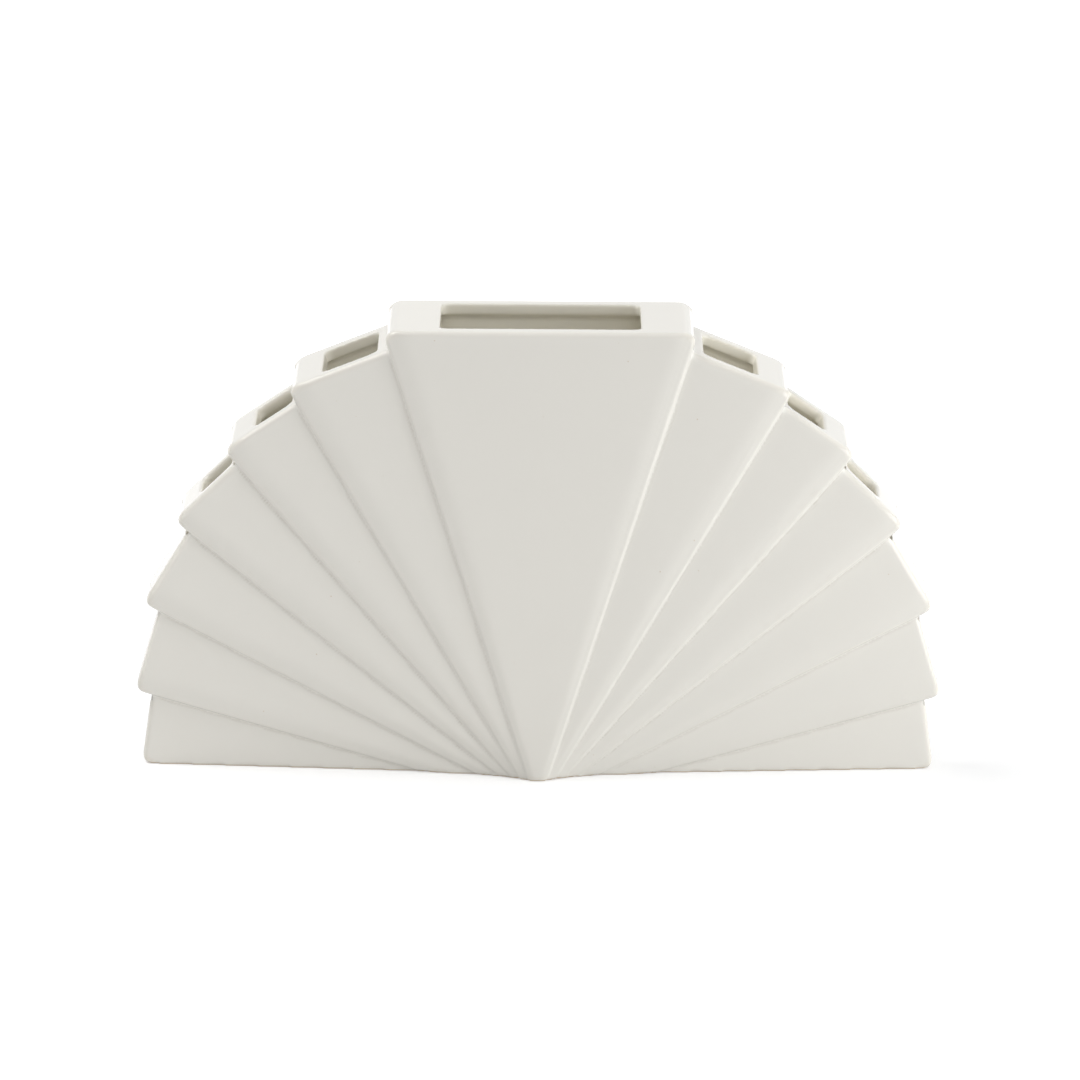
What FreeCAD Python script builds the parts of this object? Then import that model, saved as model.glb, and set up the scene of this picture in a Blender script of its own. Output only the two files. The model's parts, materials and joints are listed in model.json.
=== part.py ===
import FreeCAD, Part
import math
import os
from FreeCAD import Vector

# A ceramic fan vase, in millimetres. It stands on z = 0 and is symmetric about x = 0 and y = 0.
# Its creases run down towards one line, the hub, which lies a little below the table.
# Each pleat is set back from the one on its centre side, in front and behind alike.

# The cast body
height = 190.0            # table to the flat top of the centre pleat
depth = 53.0              # front to back over the centre pleat
wall = 5.0                # thickness of the cast wall
floor_thickness = 6.0     # slab that the pleats rise from
hub_drop = 12.5           # table down to the line that the creases aim at
tip_gap = 3.4             # hollow left inside the thinnest end, front to back

# The pleats on one side, from the centre outwards
crease_angles = (17.5, 30.0, 40.5, 51.3, 62.9, 75.0, 90.0)   # degrees from upright
# Each pleat's end runs straight from the crease on its inner side to its tip.
# Both are measured from the hub, as shares of the centre pleat's height above the hub.
inner_reach_shares = (1.003, 0.973, 0.937, 0.905, 0.863, 0.814)
tip_reach_shares = (1.011, 0.977, 0.943, 0.899, 0.848, 0.815)
hub_step = 1.45           # how far a pleat is set back from the last one, at the hub

# Rounded forms
step_lean = 42.0          # degrees that the step between two pleats leans back from square
shoulder_share = 6 / 11   # round along the top of each step, for each millimetre of step at the rim
tip_radius = 5.0          # corner of each pleat's end, seen from the front
rim_bevel_share = 4 / 11  # bevel on an end's front and back edges, in the same way

# Mouths for the stems, cut through the ends of the centre pleat and its nearest neighbours
centre_mouth_length = 80.6
mouth_lip = 7.0           # rim left in front of a mouth and behind it
mouth_corner = 3.0        # round in the corners of a mouth
mouth_inner_lands = (5.5, 3.0, 3.0)   # from a pleat's inner crease to its mouth
mouth_outer_land = 15.5   # from a mouth to its pleat's tip

# Unglazed foot under the base slab
foot_width = 7.0          # ring left round the recess, where the vase is thinnest
foot_recess = 1.5         # depth of the recess
foot_corner = 3.5         # round where the foot turns up at each end of the vase

# What the sizes above give
fan_reach = height + hub_drop
pleat_count = len(inner_reach_shares)
open_count = len(mouth_inner_lands)
rim_step = (depth - (wall + tip_gap + wall)) / 2 / pleat_count
shoulder_radius = rim_step * shoulder_share
rim_bevel = rim_step * rim_bevel_share
spread = fan_reach + depth
foot_end = fan_reach * inner_reach_shares[-1] - foot_corner
start_share = 0.95        # pleats start a little below the table, where it cuts them off
near = 1e-4


def along(angle, reach):
    """Point at a reach from the hub, at an angle from upright towards +X."""
    return Vector(reach * math.sin(angle), 0, reach * math.cos(angle) - hub_drop)


def outer_angle(k):
    return math.radians(crease_angles[k])


def inner_angle(k):
    return outer_angle(k - 1) if k else -outer_angle(0)


def middle_angle(k):
    return (inner_angle(k) + outer_angle(k)) / 2


def half_angle(k):
    return (outer_angle(k) - inner_angle(k)) / 2


def crease_normal(angle):
    """Direction square to a crease, away from the centre of the fan."""
    return Vector(math.cos(angle), 0, -math.sin(angle))


def end_reaches(k):
    """Reach of the inner corner and the tip of pleat k's end."""
    if k == 0:
        corner = fan_reach / math.cos(outer_angle(0))
        return corner, corner
    return fan_reach * inner_reach_shares[k - 1], fan_reach * tip_reach_shares[k - 1]


def end_corners(k):
    inner, tip = end_reaches(k)
    return along(inner_angle(k), inner), along(outer_angle(k), tip)


def end_normal(k):
    """Direction out of pleat k's end, square to it."""
    inner, tip = end_corners(k)
    edge = (tip - inner).normalize()
    return Vector(-edge.z, 0, edge.x)


def rim_run(k):
    """Distance along pleat k's middle line from the hub to its end."""
    return sum(end_reaches(k)) / 2 * math.cos(half_angle(k))


def half_depth(k, run):
    """Half the thickness of pleat k at a distance from the hub along its middle line."""
    at_hub = depth / 2 - k * hub_step if k else depth / 2
    at_rim = depth / 2 - k * rim_step
    return at_hub + (at_rim - at_hub) * run / rim_run(k)


def place(k, run, across, y):
    """Point at a run along pleat k's middle line, then across it and front to back."""
    point = along(middle_angle(k), run) + crease_normal(middle_angle(k)) * across
    return Vector(point.x, y, point.z)


def start_run(k):
    """Where pleat k starts on its middle line: just below the table."""
    return start_share * hub_drop * math.cos(half_angle(k)) / math.cos(inner_angle(k))


def section(k, run):
    """Corners of pleat k's section, square to its middle line."""
    side = run * math.tan(half_angle(k))
    face = half_depth(k, run)

    def stepped():
        """Front half of a side that steps down to the next pleat."""
        next_run = run / math.cos(half_angle(k)) * math.cos(half_angle(k + 1))
        foot = half_depth(k + 1, next_run)
        top = side - (face - foot) * math.tan(math.radians(step_lean))
        return [(top, -face), (side, -foot)]

    outer = [(side, -face)] if k == pleat_count else stepped()
    inner = [(-side, -face)] if k else [(-across, y) for across, y in reversed(stepped())]
    front = inner + outer
    return [place(k, run, across, y) for across, y in front + [(a, -y) for a, y in reversed(front)]]


def face_of(points):
    return Part.Face(Part.makePolygon(points + points[:1]))


def frustum(low_ring, high_ring):
    """Solid between two rings of corners whose sides are parallel."""
    low_pairs = zip(low_ring, low_ring[1:] + low_ring[:1])
    high_pairs = zip(high_ring, high_ring[1:] + high_ring[:1])
    sides = [face_of([a, b, d, c]) for (a, b), (c, d) in zip(low_pairs, high_pairs)]
    solid = Part.Solid(Part.Shell(sides + [face_of(low_ring), face_of(high_ring)]))
    return solid if solid.Volume > 0 else solid.reversed()


def prism(points, half_width=depth):
    """Solid of an outline in the XZ plane, carried to both sides of it."""
    outline = face_of(points)
    outline.translate(Vector(0, -half_width, 0))
    return outline.extrude(Vector(0, half_width * 2, 0))


def beyond(point, direction, outwards):
    """All that lies past a line in the XZ plane, on the side that outwards points to."""
    run = Vector(direction).normalize() * spread
    push = Vector(outwards).normalize() * spread
    return prism([point - run, point + run, point + run + push, point - run + push])


def level(low, high):
    """All that lies between two heights."""
    return Part.makeBox(spread * 2, depth * 2, high - low, Vector(-spread, -depth, low))


def on_plane(edge, point, normal):
    first, last = edge.FirstParameter, edge.LastParameter
    samples = (first, (first + last) / 2, last)
    return all(abs((edge.valueAt(t) - point).dot(normal)) < near for t in samples)


def runs_along(edge, direction):
    """True for a straight edge parallel to a direction."""
    ends = [vertex.Point for vertex in edge.Vertexes]
    return len(ends) == 2 and abs((ends[1] - ends[0]).normalize().dot(direction)) > 1 - near


def step_edges(k, body):
    """Edges of pleat k's faces where they turn down to the next pleat."""
    low, high = section(k, start_run(k)), section(k, max(end_reaches(k)))
    half = len(low) // 2
    tops = [half - 2, half + 1] if k else [1, 2, 5, 6]
    lines = [(low[i], (high[i] - low[i]).normalize()) for i in tops]

    def lies_on(edge, start, along_line):
        return all((v.Point - start).cross(along_line).Length < near for v in edge.Vertexes)

    return [edge for edge in body.Edges if any(lies_on(edge, *line) for line in lines)]


def pleat_body(k):
    """Solid pleat from below the table to its rounded end, before it is hollowed."""
    inner, tip = end_corners(k)
    body = frustum(section(k, start_run(k)), section(k, max(end_reaches(k))))
    body = body.cut(beyond(inner, tip - inner, end_normal(k)))
    front_to_back = Vector(0, 1, 0)

    def rim_edges():
        return [edge for edge in body.Edges if on_plane(edge, inner, end_normal(k))]

    def against_neighbour(edge):
        return k > 0 and on_plane(edge, along(0, 0), crease_normal(inner_angle(k)))

    if k < pleat_count:
        body = body.makeFillet(shoulder_radius, step_edges(k, body))
        corners = [edge for edge in rim_edges() if runs_along(edge, front_to_back)]
        corners = [edge for edge in corners if not against_neighbour(edge)]
        body = body.makeFillet(tip_radius, corners)
    # The bevel runs on by itself from these two edges over the shoulder and the tip.
    front_and_back = [edge for edge in rim_edges() if runs_along(edge, (tip - inner).normalize())]
    return body.makeChamfer(rim_bevel, front_and_back)


def hollow(k):
    """Water space inside pleat k, a wall's thickness behind every outer face."""
    rings = []
    for run in (0, rim_run(k)):
        deep = half_depth(k, run) - wall
        corners = ((-spread, -deep), (spread, -deep), (spread, deep), (-spread, deep))
        rings.append([place(k, run, across, y) for across, y in corners])
    space = frustum(*rings).common(level(floor_thickness, height))
    inner, tip = end_corners(k)
    space = space.cut(beyond(inner - end_normal(k) * wall, tip - inner, end_normal(k)))
    if k < pleat_count:
        outer = crease_normal(outer_angle(k))
        space = space.cut(beyond(along(0, 0) - outer * wall, along(outer_angle(k), spread), outer))
    inwards = crease_normal(inner_angle(k)) * -1
    # It reaches into the deeper hollow of the pleat beside it, so that the two run together.
    line = along(0, 0) + inwards * (wall * 2 if k else -wall)
    return space.cut(beyond(line, along(inner_angle(k), spread), inwards))


def mouth(k):
    """Cutter for the rounded mouth in pleat k's end."""
    inner, tip = end_corners(k)
    edge = (tip - inner).normalize()
    length = (tip - inner).Length
    if k:
        start, stop = mouth_inner_lands[k - 1], length - mouth_outer_land
    else:
        start, stop = (length - centre_mouth_length) / 2, (length + centre_mouth_length) / 2
    out = end_normal(k) * wall
    outline = [inner + edge * start + out, inner + edge * stop + out]
    outline += [inner + edge * stop - out * 2, inner + edge * start - out * 2]
    cutter = prism(outline, half_depth(k, rim_run(k)) - mouth_lip)
    corners = [side for side in cutter.Edges if runs_along(side, end_normal(k))]
    return cutter.makeFillet(mouth_corner, corners)


def mirrored(shape):
    return shape.mirror(Vector(0, 0, 0), Vector(1, 0, 0))


def both_sides(shapes):
    """The centre's shape, then every other one with its mirror image."""
    return shapes + [mirrored(shape) for shape in shapes[1:]]


def is_foot_end(edge):
    """True for the edge under either end of the vase, front to back."""
    under = on_plane(edge, Vector(0, 0, 0), Vector(0, 0, 1))
    return under and runs_along(edge, Vector(0, 1, 0)) and abs(edge.CenterOfMass.x) > foot_end


def base_slab(bodies):
    """Floor of the vase: the foot of every pleat in one slab, with a recess underneath."""
    layers = [body.common(level(0, floor_thickness)) for body in bodies]
    slab = layers[0].fuse(layers[1:]).removeSplitter()
    ends = [edge for edge in slab.Edges if is_foot_end(edge)]
    slab = slab.makeFillet(foot_corner, ends)
    at_hub = half_depth(pleat_count, 0)
    at_rim = half_depth(pleat_count, rim_run(pleat_count))
    half_length = rim_run(pleat_count) * (at_hub - foot_width) / (at_hub - at_rim)
    corners = [Vector(half_length, 0, 0), Vector(0, at_hub - foot_width, 0)]
    corners += [corner * -1 for corner in corners]
    return slab.cut(face_of(corners).extrude(Vector(0, 0, foot_recess)))


def finished_pleat(k, body, water_space):
    """Pleat k above the base slab, hollowed, with its mouth if it has one."""
    pleat = body.common(level(floor_thickness, spread)).cut(water_space)
    return pleat.cut(mouth(k)) if k <= open_count else pleat


def write(name, shape):
    shape.exportStep(f"parts/{name}.step")


os.makedirs("parts", exist_ok=True)
numbers = range(pleat_count + 1)
bodies = [pleat_body(k) for k in numbers]
water_space = both_sides([hollow(k) for k in numbers])
write("base_slab", base_slab(both_sides(bodies)))
for k, body in zip(numbers, bodies):
    pleat = finished_pleat(k, body, water_space)
    if k == 0:
        write("centre_pleat", pleat)
    else:
        write(f"right_pleat_{k}", pleat)
        write(f"left_pleat_{k}", mirrored(pleat))
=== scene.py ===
import json
import math

import bpy
import numpy
from bpy.props import FloatProperty, FloatVectorProperty, IntProperty, PointerProperty
from mathutils import Matrix, Vector
from mathutils.bvhtree import BVHTree

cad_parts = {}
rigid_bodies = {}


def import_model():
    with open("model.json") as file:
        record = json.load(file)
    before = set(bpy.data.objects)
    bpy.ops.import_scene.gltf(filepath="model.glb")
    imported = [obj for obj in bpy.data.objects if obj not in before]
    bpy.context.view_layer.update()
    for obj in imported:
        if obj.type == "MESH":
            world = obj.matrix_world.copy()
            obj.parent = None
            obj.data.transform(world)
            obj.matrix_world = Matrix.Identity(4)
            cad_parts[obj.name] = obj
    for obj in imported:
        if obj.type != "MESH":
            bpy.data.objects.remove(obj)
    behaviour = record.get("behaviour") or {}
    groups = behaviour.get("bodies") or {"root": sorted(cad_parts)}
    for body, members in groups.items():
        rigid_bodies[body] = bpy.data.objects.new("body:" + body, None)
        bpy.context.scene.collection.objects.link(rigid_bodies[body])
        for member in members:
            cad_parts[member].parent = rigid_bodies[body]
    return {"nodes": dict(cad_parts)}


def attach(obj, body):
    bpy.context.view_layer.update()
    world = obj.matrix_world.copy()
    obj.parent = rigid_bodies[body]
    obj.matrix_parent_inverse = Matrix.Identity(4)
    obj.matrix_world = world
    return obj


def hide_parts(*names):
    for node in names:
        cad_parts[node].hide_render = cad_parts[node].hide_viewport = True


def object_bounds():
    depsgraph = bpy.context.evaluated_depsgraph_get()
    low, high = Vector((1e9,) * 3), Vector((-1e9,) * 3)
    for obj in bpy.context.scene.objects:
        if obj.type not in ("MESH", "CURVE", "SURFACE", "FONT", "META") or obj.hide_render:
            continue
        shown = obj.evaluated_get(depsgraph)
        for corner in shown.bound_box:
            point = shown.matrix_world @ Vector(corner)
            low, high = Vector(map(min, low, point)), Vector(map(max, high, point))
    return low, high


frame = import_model()
cad_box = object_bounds()

# A fan vase, slip-cast in earthenware and dipped in a glossy white glaze.
# The casting is made whole, softened as clay and glaze soften it, and then parted along its
# creases and above its floor, so that each pleat is a piece of its own.

bl_info = {
    "name": "Fan vase",
    "version": (1, 0, 0),
    "blender": (4, 5, 0),
    "location": "3D Viewport > Sidebar > Fan vase",
    "description": "Dresses the pleated casting in white glaze and sets it on a plain stage",
    "category": "Object",
}

MM = 0.001
SIDES = {"right": 1, "left": -1}

# Casting and parting
WELD_GAP = 0.001 * MM  # corners of neighbouring solids that lie this close are joined
BLOCK = 1.0  # edge of the block that parts a piece off, larger than the vase

# Rounding of the steps
FOOT_HEIGHT = 1 * MM  # what lies lower belongs to the foot
SKIN_DEPTH = 1.5 * MM  # from the foot of a step into the wall, to where nothing moves
FACE_SLACK = 0.5 * MM  # how far the points of a face may stand out from it
LEAST_PILLOW = 0.1 * MM

# Marks for the glaze
RAY_START = 1 * MM  # off the surface
RAY_LENGTH = 100 * MM
BARE_HEIGHT = 0.5 * MM
FACING_DOWN = -0.6

# The mix node has a set of sockets for each kind of value. These are the places of those used here.
MIX_SHARE = 0
FLOAT_BASE, FLOAT_OTHER = 2, 3
COLOUR_BASE, COLOUR_OTHER, COLOUR_RESULT = 6, 7, 2

# Stage, in metres
FLOOR_SIZE = 12
FLOOR_PAINT = (0.72, 0.72, 0.72, 1)
SENSOR_WIDTH = 36  # in millimetres, as cameras have it
CLIP_END = 100
WHITE = (1.0, 1.0, 1.0)
MIDDLE = (0, 0, 0.09)
# Place, aim, width and height, watts and colour. The two small lamps low down light the outer pleats.
LIGHTS = {
    "right_softbox": ((1.2, -0.3, 0.35), MIDDLE, (0.6, 0.6), 4.5, (0.94, 0.97, 1.0)),
    "left_softbox": ((-0.7, 0.1, 1.2), MIDDLE, (0.8, 0.8), 9.5, WHITE),
    "top_softbox": ((0.1, -0.7, 1.2), MIDDLE, (1.4, 0.5), 1.6, WHITE),
    "right_low_lamp": ((0.45, -0.3, 0.1), (0.12, 0, 0.04), (0.3, 0.2), 0.52, WHITE),
    "left_low_lamp": ((-0.45, -0.3, 0.1), (-0.12, 0, 0.04), (0.3, 0.2), 0.28, WHITE),
}


def linear(hex_colour):
    """Linear RGBA of an sRGB hex colour."""
    channels = [int(hex_colour[i:i + 2], 16) / 255 for i in (1, 3, 5)]
    return [c / 12.92 if c <= 0.04045 else ((c + 0.055) / 1.055) ** 2.4 for c in channels] + [1.0]


def length(name, description, default):
    """A length among the settings."""
    return FloatProperty(name=name, description=description, default=default, subtype="DISTANCE", unit="LENGTH")


def tint(name, description, hex_colour):
    """A colour among the settings."""
    return FloatVectorProperty(
        name=name, description=description, size=4, default=linear(hex_colour), subtype="COLOR")


class CastingSizes(bpy.types.PropertyGroup):
    grain: length("Grain", "Size of the facets that the casting is made of", 0.9 * MM)
    softening: IntProperty(
        name="Softening", description="How often the edges and creases are smoothed", default=5)
    wave: length("Wave", "Greatest depth of the slight unevenness that sponging and firing leave", 0.2 * MM)
    wave_length: length("Wave length", "Size of that unevenness along the surface", 50 * MM)
    hub_drop: length("Hub drop", "From the table down to the line that all creases aim at", 12.5 * MM)
    floor_top: length("Floor top", "Height of the slab that the pleats rise from", 6 * MM)
    parting: length(
        "Parting", "How far beyond a crease or the floor the pieces part, so that faces "
        "in a crease's own plane stay whole", 0.1 * MM)
    creases: FloatVectorProperty(
        name="Creases", description="Angles of one side's creases from upright, from the centre outwards",
        size=6, default=[math.radians(a) for a in (17.5, 30.0, 40.5, 51.3, 62.9, 75.0)])
    rim_reaches: FloatVectorProperty(
        name="Rim reaches", description="From the hub to the ends of one side's pleats, "
        "from the centre outwards", size=6, unit="LENGTH",
        default=[a * MM for a in (203.9, 197.4, 190.4, 182.7, 173.2, 164.9)])
    hub_step: length(
        "Step at the hub", "How far each pleat is set back from the last one, at the hub", 1.45 * MM)
    rim_step: length("Step at the rim", "The same at the rim", 3.3 * MM)
    step_width: FloatProperty(
        name="Step width", description="Width of a rounded step, for each millimetre of its drop",
        default=1.25)
    plain_step_width: FloatProperty(
        name="Plain step width", description="Width of the step before it is rounded", default=0.9)
    pillow_width: length(
        "Pillow width", "Greatest width of the strip by a step where a face falls off gently", 6 * MM)
    pillow_share: FloatProperty(
        name="Pillow share", description="The same width for each millimetre of distance from the hub",
        default=0.05)
    pillow_slope: FloatProperty(
        name="Pillow slope", description="Depth that it falls by, for each millimetre of its width",
        default=0.11)


class GlazeColours(bpy.types.PropertyGroup):
    glaze: tint("Glaze", "White glaze on the open faces", "#EEEBE3")
    # Inner glaze: lighter and warmer than the outer glaze, painted light for the light that reaches inside and
    # warms as it bounces there
    inner: tint("Inner glaze", "Creamier glaze that was poured inside", "#FCF8EB")
    # Tan line over edges: partly the body under thin glaze, partly a painted dark reflection that rounded edges
    # catch at a grazing angle
    edge: tint("Thin glaze", "Body showing faintly where the glaze ran thin over an edge", "#D6C3A2")
    # Darker in creases: partly glaze pooled there, partly painted shade for the shade that falls in the creases
    pooled_glaze_and_shade: tint("Pooled glaze", "Glaze that gathered in a crease, thick and a little darker", "#B4AC9C")
    clay: tint("Bare clay", "Unglazed earthenware under the foot, and its rare specks in the glaze", "#C9B08C")


class StageSettings(bpy.types.PropertyGroup):
    distance: length("Camera distance", "From the middle of the vase to the camera", 2.5)
    elevation: FloatProperty(
        name="Camera elevation", description="Angle above the horizon",
        default=math.radians(16.6), subtype="ANGLE", unit="ROTATION")
    roll: FloatProperty(
        name="Camera roll", description="Turn of the picture",
        default=math.radians(0.4), subtype="ANGLE", unit="ROTATION")
    target: FloatVectorProperty(
        name="Target", description="Point in the middle of the picture",
        size=3, default=(0.35 * MM, 0, 95.45 * MM), subtype="TRANSLATION", unit="LENGTH")
    lens: FloatProperty(
        name="Lens", description="Focal length on a 36 mm sensor, in millimetres", default=203.7)


def only(*things):
    """Selects these objects alone and makes the first one active."""
    bpy.ops.object.select_all(action="DESELECT")
    for thing in things:
        thing.select_set(True)
    bpy.context.view_layer.objects.active = things[0]


def copy_of(thing, name):
    """A copy with its own mesh."""
    copy = bpy.data.objects.new(name, thing.data.copy())
    copy.data.name = name
    bpy.context.scene.collection.objects.link(copy)
    return copy


def remove(*things):
    for thing in things:
        bpy.data.meshes.remove(thing.data)


def add_modifier(thing, kind, **settings):
    modifier = thing.modifiers.new(kind.title(), kind)
    for name, value in settings.items():
        setattr(modifier, name, value)


def apply_modifiers(thing):
    only(thing)
    for modifier in list(thing.modifiers):
        bpy.ops.object.modifier_apply(modifier=modifier.name)


def half_space(point, normal):
    """A block that fills one side of a plane as far as the vase reaches."""
    normal = Vector(normal)
    bpy.ops.object.select_all(action="DESELECT")
    bpy.ops.mesh.primitive_cube_add(size=BLOCK, location=Vector(point) + normal * BLOCK / 2,
                                    rotation=normal.to_track_quat("Z", "Y").to_euler())
    return bpy.context.object


def part_off(casting, name, point, normal):
    """Parts what lies beyond a plane from the casting, as a closed piece of its own."""
    beyond = half_space(point, normal)
    piece = copy_of(casting, name)
    for thing, operation in ((piece, "INTERSECT"), (casting, "DIFFERENCE")):
        add_modifier(thing, "BOOLEAN", operation=operation, object=beyond, solver="MANIFOLD")
        apply_modifiers(thing)
    remove(beyond)
    return piece


def point_values(thing):
    """Places and normals of the points."""
    mesh = thing.data
    points, normals = (numpy.empty(len(mesh.vertices) * 3) for _ in range(2))
    mesh.vertices.foreach_get("co", points)
    mesh.vertex_normals.foreach_get("vector", normals)
    return points.reshape(-1, 3), normals.reshape(-1, 3)


def neighbours_mean(values, pairs, rounds):
    """Mean of each point's neighbours, taken again for each round."""
    count = len(values)
    ends = numpy.concatenate((pairs[:, 0], pairs[:, 1]))
    others = numpy.concatenate((pairs[:, 1], pairs[:, 0]))
    shares = numpy.maximum(numpy.bincount(ends, minlength=count), 1)
    for _ in range(rounds):
        sums = [numpy.bincount(ends, column[others], count) for column in values.T]
        values = numpy.stack(sums, axis=1) / shares[:, None]
    return values


def face_depth(pleat, reach, sizes):
    """Distance of a pleat's face from the middle of the vase, as it goes with the distance from the hub."""
    half_depth = cad_box[1][1]
    if not pleat:
        return half_depth
    shares = reach / sizes.rim_reaches[pleat - 1]
    return half_depth - pleat * (sizes.hub_step + (sizes.rim_step - sizes.hub_step) * shares)


def round_step(points, pleat, sign, sizes):
    """Rounds the step over that leads from a pleat, counted from the centre one as 0, to the next one."""
    angle = sizes.creases[pleat]
    up = numpy.array((sign * math.sin(angle), 0, math.cos(angle)))
    inwards = numpy.array((-sign * math.cos(angle), 0, math.sin(angle)))
    from_hub = points - numpy.array((0, 0, -sizes.hub_drop))
    reach, across = from_hub @ up, from_hub @ inwards
    outwards = numpy.sign(points[:, 1])
    depth = numpy.abs(points[:, 1])

    face, foot = (face_depth(k, reach, sizes) for k in (pleat, pleat + 1))
    drop = face - foot
    width = drop * sizes.step_width
    on_step = across < width
    share = numpy.clip(across / width, 0, 1)
    plain_share = numpy.clip(across / (drop * sizes.plain_step_width), 0, 1)
    # Only the step's own skin moves, and less so towards the wall under it.
    skin = numpy.clip((depth - foot) / SKIN_DEPTH + 1, 0, 1) * (reach > 0)

    # The step turns over as a quarter of an ellipse does.
    turn = share * math.pi / 2
    hold = skin * on_step
    points += ((1 - numpy.cos(turn) - share) * width * hold)[:, None] * inwards
    points[:, 1] += (numpy.sin(turn) - plain_share) * drop * hold * outwards

    # The face beside it falls off gently towards the step, and takes the step along.
    pillow = numpy.clip(reach * sizes.pillow_share, 0, sizes.pillow_width)
    onto_face = numpy.clip(1 - (across - width) / numpy.maximum(pillow, LEAST_PILLOW), 0, 1) ** 2
    bend = numpy.where(on_step, share, onto_face) * pillow * sizes.pillow_slope
    hold = skin * numpy.clip((face - depth) / FACE_SLACK + 1, 0, 1)
    points[:, 1] -= bend * hold * outwards


def round_steps(casting, sizes):
    """Rounds each step between two pleats over, from a flat start to a steep foot in the crease."""
    points, _ = point_values(casting)
    foot_heights = numpy.minimum(points[:, 2], FOOT_HEIGHT)
    for sign in SIDES.values():
        for pleat in range(len(sizes.creases)):
            round_step(points, pleat, sign, sizes)
    # The foot stays as flat as it is.
    points[:, 2] = numpy.maximum(points[:, 2], foot_heights)
    casting.data.vertices.foreach_set("co", points.ravel())
    casting.data.update()


def mark_surface(casting):
    """Marks for the glaze, as values on the points: inside, edges and creases, and the bare foot ring."""
    mesh = casting.data
    points, normals = point_values(casting)
    pairs = numpy.empty(len(mesh.edges) * 2, dtype=numpy.int32)
    mesh.edges.foreach_get("vertices", pairs)
    pairs = pairs.reshape(-1, 2)

    # A point is inside if a wall stands between it and the open air to its front or back.
    tree = BVHTree.FromObject(casting, bpy.context.evaluated_depsgraph_get())
    starts = points + normals * RAY_START
    hits = [tree.ray_cast(start, (0, 1 if start[1] > 0 else -1, 0), RAY_LENGTH)[0] for start in starts]
    inside = numpy.array([hit is not None for hit in hits], dtype=float)
    # How far a point bulges, for each facet's width: above zero on an edge, below zero in a crease
    bulge = ((points - neighbours_mean(points, pairs, 1)) * normals).sum(axis=1)
    facet = numpy.sqrt(((points[pairs[:, 0]] - points[pairs[:, 1]]) ** 2).sum(axis=1)).mean()
    bare = (points[:, 2] < BARE_HEIGHT) & (normals[:, 2] < FACING_DOWN)

    # Each mark with the rounds that it is evened out by
    marks = {"inside": (inside, 2), "edge": (bulge / facet, 3), "bare": (bare.astype(float), 1)}
    for name, (values, rounds) in marks.items():
        values = neighbours_mean(values[:, None], pairs, rounds)[:, 0]
        mesh.attributes.new(name, "FLOAT", "POINT").data.foreach_set("value", values.astype(numpy.float32))


def finish_piece(piece, node):
    """Shades a piece as it was in the whole casting, so that no line shows where it was parted."""
    add_modifier(piece, "DATA_TRANSFER", object=bpy.data.objects["whole_casting"], use_loop_data=True,
                 data_types_loops={"CUSTOM_NORMAL"}, loop_mapping="POLYINTERP_NEAREST")
    apply_modifiers(piece)
    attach(piece, "root")
    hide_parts(node)


class FANVASE_OT_casting(bpy.types.Operator):
    """Joins the pleats and the floor into one hollow casting and softens it"""
    bl_idname = "fanvase.casting"
    bl_label = "Cast the body"

    def execute(self, context):
        sizes = context.scene.fanvase_casting
        solids = [copy_of(node, name + "_solid") for name, node in frame["nodes"].items()]
        only(*solids)
        bpy.ops.object.mode_set(mode="EDIT")
        bpy.ops.mesh.select_all(action="SELECT")
        bpy.ops.mesh.remove_doubles(threshold=WELD_GAP)
        bpy.ops.object.mode_set(mode="OBJECT")

        casting, others = solids[0], solids[1:]
        casting.name = "casting"
        group = bpy.data.collections.new("solids")
        for solid in others:
            group.objects.link(solid)
        add_modifier(casting, "BOOLEAN", operation="UNION", operand_type="COLLECTION", collection=group,
                     solver="EXACT")
        grain = sizes.grain * 1
        add_modifier(casting, "REMESH", mode="VOXEL", voxel_size=grain, use_smooth_shade=True)
        add_modifier(casting, "SMOOTH", factor=0.5, iterations=sizes.softening)
        unevenness = bpy.data.textures.new("sponged_unevenness", "CLOUDS")
        unevenness.noise_scale = sizes.wave_length
        add_modifier(casting, "DISPLACE", texture=unevenness, strength=-sizes.wave, mid_level=0)
        apply_modifiers(casting)

        round_steps(casting, sizes)
        mark_surface(casting)
        copy_of(casting, "whole_casting")
        remove(*others)
        bpy.data.collections.remove(group)
        return {"FINISHED"}


class FANVASE_OT_base_slab(bpy.types.Operator):
    """Parts the floor and its foot from the casting"""
    bl_idname = "fanvase.base_slab"
    bl_label = "Base slab"

    def execute(self, context):
        sizes = context.scene.fanvase_casting
        top = (0, 0, sizes.floor_top + sizes.parting)
        slab = part_off(bpy.data.objects["casting"], "base_slab_glazed", top, (0, 0, -1))
        finish_piece(slab, "base_slab")
        return {"FINISHED"}


class FANVASE_OT_side_pleats(bpy.types.Operator):
    """Parts the side pleats from the casting, the outermost first"""
    bl_idname = "fanvase.side_pleats"
    bl_label = "Side pleats"

    def execute(self, context):
        sizes = context.scene.fanvase_casting
        casting = bpy.data.objects["casting"]
        hub = Vector((0, 0, -sizes.hub_drop))
        for side, sign in SIDES.items():
            wing = casting
            # The whole side comes off first, and then its pleats from the outermost inwards.
            for k in (1, *range(len(sizes.creases), 1, -1)):
                angle = sizes.creases[k - 1]
                outwards = Vector((sign * math.cos(angle), 0, -math.sin(angle)))
                name = f"{side}_pleat_{k}"
                pleat = part_off(wing, name + "_glazed", hub + outwards * sizes.parting, outwards)
                if k == 1:
                    wing = pleat
                else:
                    finish_piece(pleat, name)
            finish_piece(wing, f"{side}_pleat_1")
        return {"FINISHED"}


class FANVASE_OT_centre_pleat(bpy.types.Operator):
    """Keeps what is left of the casting as the centre pleat"""
    bl_idname = "fanvase.centre_pleat"
    bl_label = "Centre pleat"

    def execute(self, context):
        casting = bpy.data.objects["casting"]
        casting.name = casting.data.name = "centre_pleat_glazed"
        finish_piece(casting, "centre_pleat")
        remove(bpy.data.objects["whole_casting"])
        return {"FINISHED"}


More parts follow.
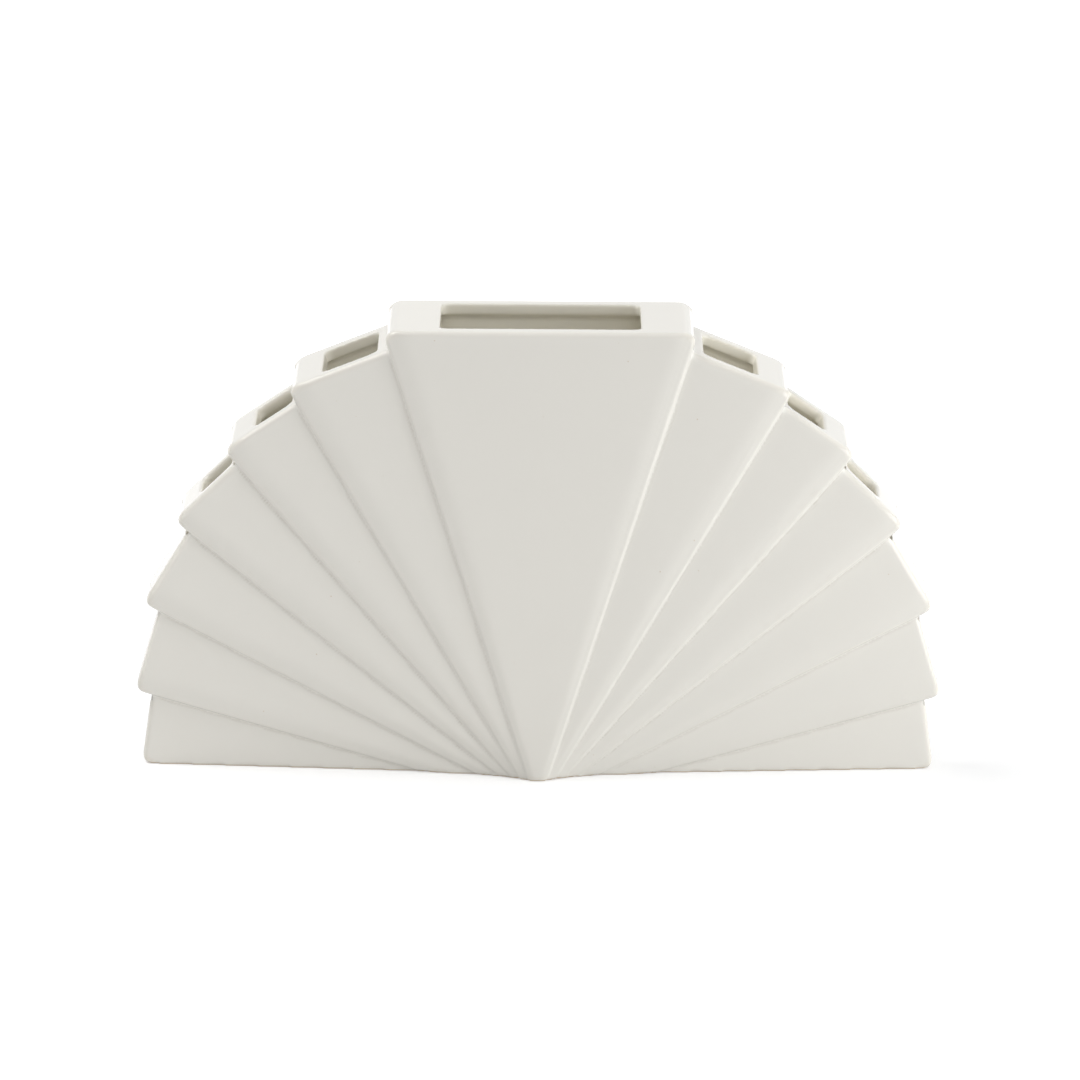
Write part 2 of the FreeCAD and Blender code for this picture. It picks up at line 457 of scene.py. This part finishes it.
def add_node(tree, kind, settings=None, inputs=None, links=None):
    """Adds a node with its settings, its sockets' values and the links into it."""
    node = tree.nodes.new(kind)
    for name, value in (settings or {}).items():
        setattr(node, name, value)
    for name, value in (inputs or {}).items():
        node.inputs[name].default_value = value
    for name, source in (links or {}).items():
        tree.links.new(source, node.inputs[name])
    return node


def new_material(name):
    material = bpy.data.materials.new(name)
    material.use_nodes = True
    material.node_tree.nodes.clear()
    return material, material.node_tree


def ranged(tree, value, ends, levels):
    """Level that goes along with a value between its two ends."""
    names = ("From Min", "From Max", "To Min", "To Max")
    return add_node(tree, "ShaderNodeMapRange", inputs=dict(zip(names, (*ends, *levels))),
                    links={"Value": value}).outputs[0]


def mark(tree, name):
    """Value of a mark on the surface."""
    return add_node(tree, "ShaderNodeAttribute", {"attribute_name": name}).outputs["Fac"]


def mixed(tree, share, base, other):
    """Colour that goes from a base, as a colour or a socket, to another colour."""
    values, sources = {COLOUR_OTHER: other}, {MIX_SHARE: share}
    (sources if isinstance(base, bpy.types.NodeSocket) else values)[COLOUR_BASE] = base
    return add_node(tree, "ShaderNodeMix", {"data_type": "RGBA"}, values, sources).outputs[COLOUR_RESULT]


def white_glaze(colours):
    """Tin-white earthenware glaze."""
    material, tree = new_material("white_earthenware_glaze")
    place = add_node(tree, "ShaderNodeTexCoord").outputs["Object"]

    # Lighter and warmer inside, painted light for the light that reaches in and warms as it bounces there; a
    # faint tan line over edges, partly thin glaze and partly a painted dark reflection; darker in creases,
    # partly pooled glaze and partly painted shade; and bare clay under the foot
    inside = ranged(tree, mark(tree, "inside"), (0.2, 0.8), (0, 1))
    thin_glaze_and_dark_reflection = ranged(tree, mark(tree, "edge"), (0.03, 0.1), (0, 0.15))
    pooled_glaze_and_shade = ranged(tree, mark(tree, "edge"), (-0.03, -0.12), (0, 0.6))
    bare = ranged(tree, mark(tree, "bare"), (0.2, 0.6), (0, 1))
    colour = mixed(tree, inside, colours.glaze, colours.inner)
    colour = mixed(tree, thin_glaze_and_dark_reflection, colour, colours.edge)
    colour = mixed(tree, pooled_glaze_and_shade, colour, colours.pooled_glaze_and_shade)
    colour = mixed(tree, bare, colour, colours.clay)

    # Rare specks of clay, one in each cell of 12 mm and half a millimetre across
    cells = add_node(tree, "ShaderNodeTexVoronoi", inputs={"Scale": 1 / (12 * MM)}, links={"Vector": place})
    specks = ranged(tree, cells.outputs["Distance"], (0.03, 0.015), (0, 0.5))
    colour = mixed(tree, specks, colour, colours.clay)

    # Orange peel 3 mm across, seen only as a slight wavering of the highlights
    peel = add_node(tree, "ShaderNodeTexNoise", inputs={"Scale": 1 / (3 * MM), "Detail": 1},
                    links={"Vector": place})
    bump = add_node(tree, "ShaderNodeBump", inputs={"Strength": 0.15, "Distance": 0.02 * MM},
                    links={"Height": peel.outputs["Fac"]})
    # Glossy glaze, and dull clay under the foot
    dullness = ranged(tree, bare, (0, 1), (0.13, 0.7))
    shader = add_node(tree, "ShaderNodeBsdfPrincipled", inputs={"IOR": 1.5}, links={
        "Base Color": colour, "Roughness": dullness, "Normal": bump.outputs["Normal"]})
    add_node(tree, "ShaderNodeOutputMaterial", links={"Surface": shader.outputs["BSDF"]})
    return material


class FANVASE_OT_glaze(bpy.types.Operator):
    """Glazes every piece"""
    bl_idname = "fanvase.glaze"
    bl_label = "Glaze"

    def execute(self, context):
        glaze = white_glaze(context.scene.fanvase_colours)
        for thing in context.scene.objects:
            if thing.name.endswith("_glazed"):
                thing.data.materials.clear()
                thing.data.materials.append(glaze)
        return {"FINISHED"}


def area_light(name, place, aim, size, power, colour):
    bpy.ops.object.light_add(type="AREA", location=place)
    light = bpy.context.object
    light.name = name
    light.rotation_euler = (Vector(aim) - Vector(place)).to_track_quat("-Z", "Y").to_euler()
    light.data.shape = "RECTANGLE"
    light.data.size, light.data.size_y = size
    light.data.energy = power
    light.data.color = colour


def seen_rays(tree):
    """1 for rays that the camera sees straight, mirrored or through glass, 0 for those that light things."""
    rays = add_node(tree, "ShaderNodeLightPath").outputs
    seen = rays["Is Camera Ray"]
    for kind in ("Is Glossy Ray", "Is Transmission Ray"):
        either = add_node(tree, "ShaderNodeMath", {"operation": "MAXIMUM"}, links={0: seen, 1: rays[kind]})
        seen = either.outputs[0]
    return seen


def white_floor():
    """A wide white floor without an edge in the picture."""
    bpy.ops.object.select_all(action="DESELECT")
    bpy.ops.mesh.primitive_plane_add(size=FLOOR_SIZE)
    floor = bpy.context.object
    floor.name = "floor"
    material, tree = new_material("matt_white_floor")
    paint = add_node(tree, "ShaderNodeBsdfDiffuse", inputs={"Color": FLOOR_PAINT})
    # It glows more with the distance in metres, so that it stays as white as it is by the vase.
    place = add_node(tree, "ShaderNodeTexCoord").outputs["Object"]
    reach = add_node(tree, "ShaderNodeVectorMath", {"operation": "LENGTH"}, links={0: place})
    level = ranged(tree, reach.outputs["Value"], (0.25, 1.0), (0.42, 1.0))
    strength = add_node(tree, "ShaderNodeMath", {"operation": "MULTIPLY"}, links={0: level, 1: seen_rays(tree)})
    glow = add_node(tree, "ShaderNodeEmission", links={"Strength": strength.outputs[0]})
    both = add_node(tree, "ShaderNodeAddShader", links={0: paint.outputs[0], 1: glow.outputs[0]})
    add_node(tree, "ShaderNodeOutputMaterial", links={"Surface": both.outputs[0]})
    floor.data.materials.append(material)
    return floor


def white_studio():
    """White all round to the camera, and dimmer light from the left of the vase than from its right."""
    world = bpy.data.worlds.new("white_studio")
    world.use_nodes = True
    tree = world.node_tree
    tree.nodes.clear()
    place = add_node(tree, "ShaderNodeTexCoord").outputs["Generated"]
    sideways = add_node(tree, "ShaderNodeSeparateXYZ", links={"Vector": place}).outputs["X"]
    dimmer = ranged(tree, sideways, (-0.9, 0.9), (0.06, 0.72))
    level = add_node(tree, "ShaderNodeMix", {"data_type": "FLOAT"}, {FLOAT_OTHER: 1.0},
                     {MIX_SHARE: seen_rays(tree), FLOAT_BASE: dimmer})
    sky = add_node(tree, "ShaderNodeBackground", inputs={"Color": (*WHITE, 1)},
                   links={"Strength": level.outputs[0]})
    add_node(tree, "ShaderNodeOutputWorld", links={"Surface": sky.outputs[0]})
    return world


def front_camera(stage):
    bpy.ops.object.camera_add()
    camera = bpy.context.object
    turn = Matrix.Rotation(math.pi / 2 - stage.elevation, 4, "X") @ Matrix.Rotation(stage.roll, 4, "Z")
    back = Vector((0, -math.cos(stage.elevation), math.sin(stage.elevation)))
    camera.matrix_world = Matrix.Translation(Vector(stage.target) + back * stage.distance) @ turn
    camera.data.lens = stage.lens
    camera.data.sensor_width = SENSOR_WIDTH
    camera.data.clip_end = CLIP_END
    return camera


class FANVASE_OT_stage(bpy.types.Operator):
    """Sets the floor, the soft lights and the camera"""
    bl_idname = "fanvase.stage"
    bl_label = "Stage"

    def execute(self, context):
        scene = context.scene
        scene.view_settings.view_transform = "Standard"
        floor = white_floor()
        for name, settings in LIGHTS.items():
            area_light(name, *settings)
        scene.world = white_studio()
        scene.camera = front_camera(scene.fanvase_stage)
        return {"FINISHED"}


class FANVASE_PT_panel(bpy.types.Panel):
    bl_idname = "FANVASE_PT_panel"
    bl_label = "Fan vase"
    bl_space_type = "VIEW_3D"
    bl_region_type = "UI"
    bl_category = "Fan vase"

    def draw(self, context):
        for step in STEPS:
            self.layout.operator(step.bl_idname)


GROUPS = {"fanvase_casting": CastingSizes, "fanvase_colours": GlazeColours, "fanvase_stage": StageSettings}
STEPS = (FANVASE_OT_casting, FANVASE_OT_base_slab, FANVASE_OT_side_pleats, FANVASE_OT_centre_pleat,
         FANVASE_OT_glaze, FANVASE_OT_stage)
CLASSES = (*GROUPS.values(), *STEPS, FANVASE_PT_panel)


def register():
    for kind in CLASSES:
        bpy.utils.register_class(kind)
    for name, group in GROUPS.items():
        setattr(bpy.types.Scene, name, PointerProperty(type=group))


def unregister():
    for name in GROUPS:
        delattr(bpy.types.Scene, name)
    for kind in reversed(CLASSES):
        bpy.utils.unregister_class(kind)


def main():
    register()
    bpy.ops.fanvase.casting()
    bpy.ops.fanvase.base_slab()
    bpy.ops.fanvase.side_pleats()
    bpy.ops.fanvase.centre_pleat()
    bpy.ops.fanvase.glaze()
    bpy.ops.fanvase.stage()


if __name__ == "__main__":
    main()
